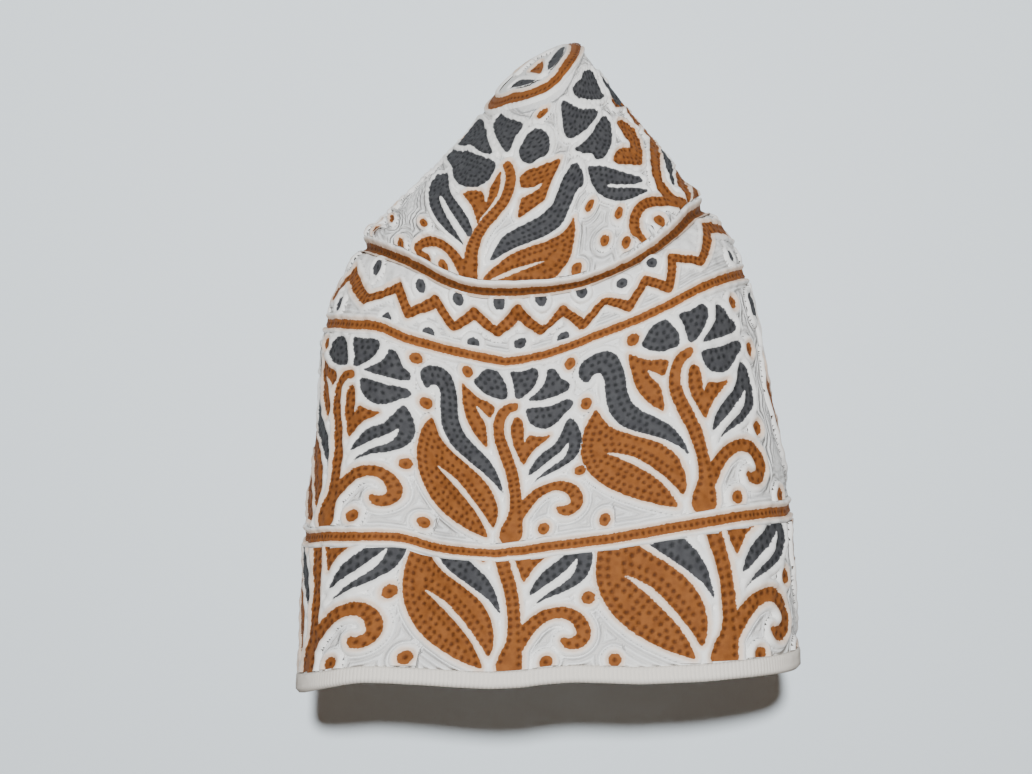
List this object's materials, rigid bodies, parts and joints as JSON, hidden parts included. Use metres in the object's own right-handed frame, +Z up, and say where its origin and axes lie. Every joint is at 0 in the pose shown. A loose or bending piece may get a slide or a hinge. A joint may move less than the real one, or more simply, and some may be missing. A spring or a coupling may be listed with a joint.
{
  "type": "embroidered kumma cap",
  "caption": "Tall quilted cotton cap with a pointed crown, embroidered side wall and plain folded hem, lying on its back.",
  "frame": {"origin": "on the surface that the cap lies on, under the middle of its box", "axes": "+Z up, out of the cap's front as it lies on its back; +Y from the open rim to the point of the crown; +X across the cap"},
  "size_m": [0.1632, 0.2203, 0.1434],
  "materials": {
    "wall_cotton": "quilted white cotton with orange-brown and blue-grey eyelet embroidery",
    "crown_cotton": "quilted white cotton with orange-brown and blue-grey eyelet embroidery",
    "hem_cotton": "plain white cotton, folded and ribbed by stitching"
  },
  "bodies": {
    "root": {"side_wall": "wall_cotton", "crown": "crown_cotton", "rim_hem": "hem_cotton"}
  },
  "joints": []
}
